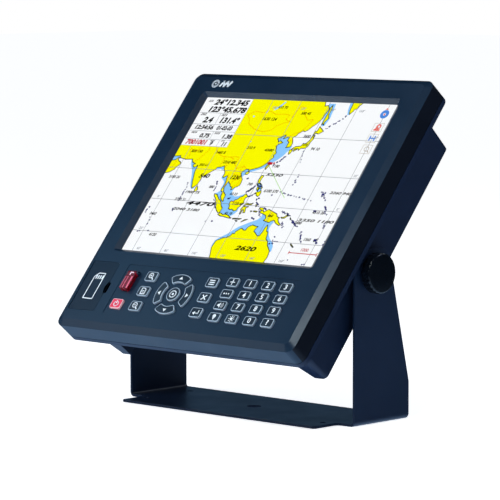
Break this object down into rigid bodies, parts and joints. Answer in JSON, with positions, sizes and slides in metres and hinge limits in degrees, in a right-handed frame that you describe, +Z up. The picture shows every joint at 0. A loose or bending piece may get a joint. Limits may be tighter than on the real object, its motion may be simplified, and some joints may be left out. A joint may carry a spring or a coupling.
{
  "type": "chartplotter display",
  "caption": "Marine chartplotter with a lit chart screen, keypad and guarded button, a card door and rear sockets, tilting on a U-shaped deck bracket with clamp knobs.",
  "frame": {"origin": "centre of the deck-screw pattern, on the underside of the bracket", "axes": "+Z up, screen faces -Y, +X to the right of someone facing the screen"},
  "size_m": [0.3218, 0.2383, 0.3128],
  "materials": {
    "bracket_paint": "fine-textured navy powder coat",
    "case_paint": "fine-textured navy powder coat on a cast metal bezel",
    "housing_paint": "fine-textured navy powder coat",
    "door_paint": "moulded plastic in the bezel's navy",
    "knob_plastic": "glossy black",
    "plated_steel": "zinc plated",
    "washer_steel": "dark plated",
    "case_screw_steel": "dull plated",
    "seal_rubber": "matt black",
    "friction_rubber": "matt black",
    "cover_glass": "clear toughened glass",
    "lcd_panel": "lit chart picture in a dark frame",
    "silicone": "dark grey silicone",
    "circuit_board": "green solder mask",
    "chassis_metal": "bare sheet",
    "connector_black": "black",
    "connector_nickel": "nickel plated",
    "speaker_plastic": "black",
    "socket_plastic": "black",
    "card_plastic": "blue",
    "ribbon_film": "white film",
    "insert_brass": "machined",
    "guard_red": "translucent red",
    "key_plastic": "dark top with a pale translucent edge and white legend",
    "power_red": "red with a white symbol",
    "alert_red": "dark red"
  },
  "bodies": {
    "bracket": {"mounting_bracket": "bracket_paint"},
    "display": {"front_bezel": "case_paint", "bezel_gasket": "seal_rubber", "rear_housing": "housing_paint", "screen_glass": "cover_glass", "lcd_module": "lcd_panel", "keypad_mat": "silicone", "keypad_board": "circuit_board", "chassis_plate": "chassis_metal", "main_board": "circuit_board", "board_screws": "plated_steel", "case_screws": "case_screw_steel", "power_connector": "connector_black", "data_connectors": "connector_black", "antenna_connector": "connector_nickel", "speaker": "speaker_plastic", "card_socket": "socket_plastic", "keypad_ribbon": "ribbon_film", "pivot_inserts": "insert_brass", "friction_washers": "friction_rubber", "guard_pin": "plated_steel", "door_pin": "plated_steel"},
    "left_knob": {"left_knob": "knob_plastic", "left_knob_stud": "plated_steel"},
    "right_knob": {"right_knob": "knob_plastic", "right_knob_stud": "plated_steel"},
    "left_washer": {"left_knob_washer": "washer_steel"},
    "right_washer": {"right_knob_washer": "washer_steel"},
    "guard": {"guard_cover": "guard_red"},
    "door": {"card_door": "door_paint"},
    "card": {"memory_card": "card_plastic"},
    "key_zoom_in": {"key_zoom_in": "key_plastic"},
    "key_page": {"key_page": "key_plastic"},
    "key_zoom_out": {"key_zoom_out": "key_plastic"},
    "key_menu": {"key_menu": "key_plastic"},
    "key_clear": {"key_clear": "key_plastic"},
    "key_enter": {"key_enter": "key_plastic"},
    "key_power": {"key_power": "power_red"},
    "key_alert": {"key_alert": "alert_red"},
    "key_centre": {"key_centre": "key_plastic"},
    "key_right": {"key_right": "key_plastic"},
    "key_up": {"key_up": "key_plastic"},
    "key_left": {"key_left": "key_plastic"},
    "key_down": {"key_down": "key_plastic"},
    "key_plus": {"key_plus": "key_plastic"},
    "key_1": {"key_1": "key_plastic"},
    "key_2": {"key_2": "key_plastic"},
    "key_3": {"key_3": "key_plastic"},
    "key_function": {"key_function": "key_plastic"},
    "key_4": {"key_4": "key_plastic"},
    "key_5": {"key_5": "key_plastic"},
    "key_6": {"key_6": "key_plastic"},
    "key_sound": {"key_sound": "key_plastic"},
    "key_7": {"key_7": "key_plastic"},
    "key_8": {"key_8": "key_plastic"},
    "key_9": {"key_9": "key_plastic"},
    "key_mark": {"key_mark": "key_plastic"},
    "key_brightness": {"key_brightness": "key_plastic"},
    "key_0": {"key_0": "key_plastic"},
    "key_help": {"key_help": "key_plastic"}
  },
  "joints": [
    {"name": "tilt", "type": "hinge", "parent": "bracket", "child": "display", "pos_m": [0, 0.002, 0.1404], "axis": [1, 0, 0], "range_deg": [-50, 38]},
    {"name": "left_washer_slide", "type": "slide", "parent": "display", "child": "left_washer", "axis": [-1, 0, 0], "range_m": [0, 0.0025]},
    {"name": "left_knob_turn", "type": "hinge", "parent": "left_washer", "child": "left_knob", "pos_m": [-0.155, 0.002, 0.1404], "axis": [-1, 0, 0], "range_deg": [0, 720]},
    {"name": "right_washer_slide", "type": "slide", "parent": "display", "child": "right_washer", "axis": [1, 0, 0], "range_m": [0, 0.0025]},
    {"name": "right_knob_turn", "type": "hinge", "parent": "right_washer", "child": "right_knob", "pos_m": [0.155, 0.002, 0.1404], "axis": [1, 0, 0], "range_deg": [0, 720]},
    {"name": "guard_flip", "type": "hinge", "parent": "display", "child": "guard", "pos_m": [-0.0834, -0.07829, 0.13043], "axis": [-1, 0, 0], "range_deg": [0, 110]},
    {"name": "door_swing", "type": "hinge", "parent": "display", "child": "door", "pos_m": [-0.1442, -0.08657, 0.11512], "axis": [0, -0.6428, -0.766], "range_deg": [0, 90]},
    {"name": "card_press", "type": "slide", "parent": "display", "child": "card", "axis": [0, 0.766, -0.6428], "range_m": [0, 0.0012], "stiffness_N_per_m": 300, "springref_m": -0.0008},
    {"name": "key_zoom_in_press", "type": "slide", "parent": "display", "child": "key_zoom_in", "axis": [0, 0.766, -0.6428], "range_m": [0, 0.001], "stiffness_N_per_m": 1200, "springref_m": -0.0005},
    {"name": "key_page_press", "type": "slide", "parent": "display", "child": "key_page", "axis": [0, 0.766, -0.6428], "range_m": [0, 0.001], "stiffness_N_per_m": 1200, "springref_m": -0.0005},
    {"name": "key_zoom_out_press", "type": "slide", "parent": "display", "child": "key_zoom_out", "axis": [0, 0.766, -0.6428], "range_m": [0, 0.001], "stiffness_N_per_m": 1200, "springref_m": -0.0005},
    {"name": "key_menu_press", "type": "slide", "parent": "display", "child": "key_menu", "axis": [0, 0.766, -0.6428], "range_m": [0, 0.001], "stiffness_N_per_m": 1200, "springref_m": -0.0005},
    {"name": "key_clear_press", "type": "slide", "parent": "display", "child": "key_clear", "axis": [0, 0.766, -0.6428], "range_m": [0, 0.001], "stiffness_N_per_m": 1200, "springref_m": -0.0005},
    {"name": "key_enter_press", "type": "slide", "parent": "display", "child": "key_enter", "axis": [0, 0.766, -0.6428], "range_m": [0, 0.001], "stiffness_N_per_m": 1200, "springref_m": -0.0005},
    {"name": "key_power_press", "type": "slide", "parent": "display", "child": "key_power", "axis": [0, 0.766, -0.6428], "range_m": [0, 0.001], "stiffness_N_per_m": 1200, "springref_m": -0.0005},
    {"name": "key_alert_press", "type": "slide", "parent": "display", "child": "key_alert", "axis": [0, 0.766, -0.6428], "range_m": [0, 0.001], "stiffness_N_per_m": 1200, "springref_m": -0.0005},
    {"name": "key_centre_press", "type": "slide", "parent": "display", "child": "key_centre", "axis": [0, 0.766, -0.6428], "range_m": [0, 0.001], "stiffness_N_per_m": 1200, "springref_m": -0.0005},
    {"name": "key_right_press", "type": "slide", "parent": "display", "child": "key_right", "axis": [0, 0.766, -0.6428], "range_m": [0, 0.001], "stiffness_N_per_m": 1200, "springref_m": -0.0005},
    {"name": "key_up_press", "type": "slide", "parent": "display", "child": "key_up", "axis": [0, 0.766, -0.6428], "range_m": [0, 0.001], "stiffness_N_per_m": 1200, "springref_m": -0.0005},
    {"name": "key_left_press", "type": "slide", "parent": "display", "child": "key_left", "axis": [0, 0.766, -0.6428], "range_m": [0, 0.001], "stiffness_N_per_m": 1200, "springref_m": -0.0005},
    {"name": "key_down_press", "type": "slide", "parent": "display", "child": "key_down", "axis": [0, 0.766, -0.6428], "range_m": [0, 0.001], "stiffness_N_per_m": 1200, "springref_m": -0.0005},
    {"name": "key_plus_press", "type": "slide", "parent": "display", "child": "key_plus", "axis": [0, 0.766, -0.6428], "range_m": [0, 0.001], "stiffness_N_per_m": 1200, "springref_m": -0.0005},
    {"name": "key_1_press", "type": "slide", "parent": "display", "child": "key_1", "axis": [0, 0.766, -0.6428], "range_m": [0, 0.001], "stiffness_N_per_m": 1200, "springref_m": -0.0005},
    {"name": "key_2_press", "type": "slide", "parent": "display", "child": "key_2", "axis": [0, 0.766, -0.6428], "range_m": [0, 0.001], "stiffness_N_per_m": 1200, "springref_m": -0.0005},
    {"name": "key_3_press", "type": "slide", "parent": "display", "child": "key_3", "axis": [0, 0.766, -0.6428], "range_m": [0, 0.001], "stiffness_N_per_m": 1200, "springref_m": -0.0005},
    {"name": "key_function_press", "type": "slide", "parent": "display", "child": "key_function", "axis": [0, 0.766, -0.6428], "range_m": [0, 0.001], "stiffness_N_per_m": 1200, "springref_m": -0.0005},
    {"name": "key_4_press", "type": "slide", "parent": "display", "child": "key_4", "axis": [0, 0.766, -0.6428], "range_m": [0, 0.001], "stiffness_N_per_m": 1200, "springref_m": -0.0005},
    {"name": "key_5_press", "type": "slide", "parent": "display", "child": "key_5", "axis": [0, 0.766, -0.6428], "range_m": [0, 0.001], "stiffness_N_per_m": 1200, "springref_m": -0.0005},
    {"name": "key_6_press", "type": "slide", "parent": "display", "child": "key_6", "axis": [0, 0.766, -0.6428], "range_m": [0, 0.001], "stiffness_N_per_m": 1200, "springref_m": -0.0005},
    {"name": "key_sound_press", "type": "slide", "parent": "display", "child": "key_sound", "axis": [0, 0.766, -0.6428], "range_m": [0, 0.001], "stiffness_N_per_m": 1200, "springref_m": -0.0005},
    {"name": "key_7_press", "type": "slide", "parent": "display", "child": "key_7", "axis": [0, 0.766, -0.6428], "range_m": [0, 0.001], "stiffness_N_per_m": 1200, "springref_m": -0.0005},
    {"name": "key_8_press", "type": "slide", "parent": "display", "child": "key_8", "axis": [0, 0.766, -0.6428], "range_m": [0, 0.001], "stiffness_N_per_m": 1200, "springref_m": -0.0005},
    {"name": "key_9_press", "type": "slide", "parent": "display", "child": "key_9", "axis": [0, 0.766, -0.6428], "range_m": [0, 0.001], "stiffness_N_per_m": 1200, "springref_m": -0.0005},
    {"name": "key_mark_press", "type": "slide", "parent": "display", "child": "key_mark", "axis": [0, 0.766, -0.6428], "range_m": [0, 0.001], "stiffness_N_per_m": 1200, "springref_m": -0.0005},
    {"name": "key_brightness_press", "type": "slide", "parent": "display", "child": "key_brightness", "axis": [0, 0.766, -0.6428], "range_m": [0, 0.001], "stiffness_N_per_m": 1200, "springref_m": -0.0005},
    {"name": "key_0_press", "type": "slide", "parent": "display", "child": "key_0", "axis": [0, 0.766, -0.6428], "range_m": [0, 0.001], "stiffness_N_per_m": 1200, "springref_m": -0.0005},
    {"name": "key_help_press", "type": "slide", "parent": "display", "child": "key_help", "axis": [0, 0.766, -0.6428], "range_m": [0, 0.001], "stiffness_N_per_m": 1200, "springref_m": -0.0005}
  ],
  "couplings": [
    {"joint": "left_knob_turn", "follows": "left_washer_slide", "rad_per_m": 5026.5},
    {"joint": "right_knob_turn", "follows": "right_washer_slide", "rad_per_m": 5026.5}
  ]
}
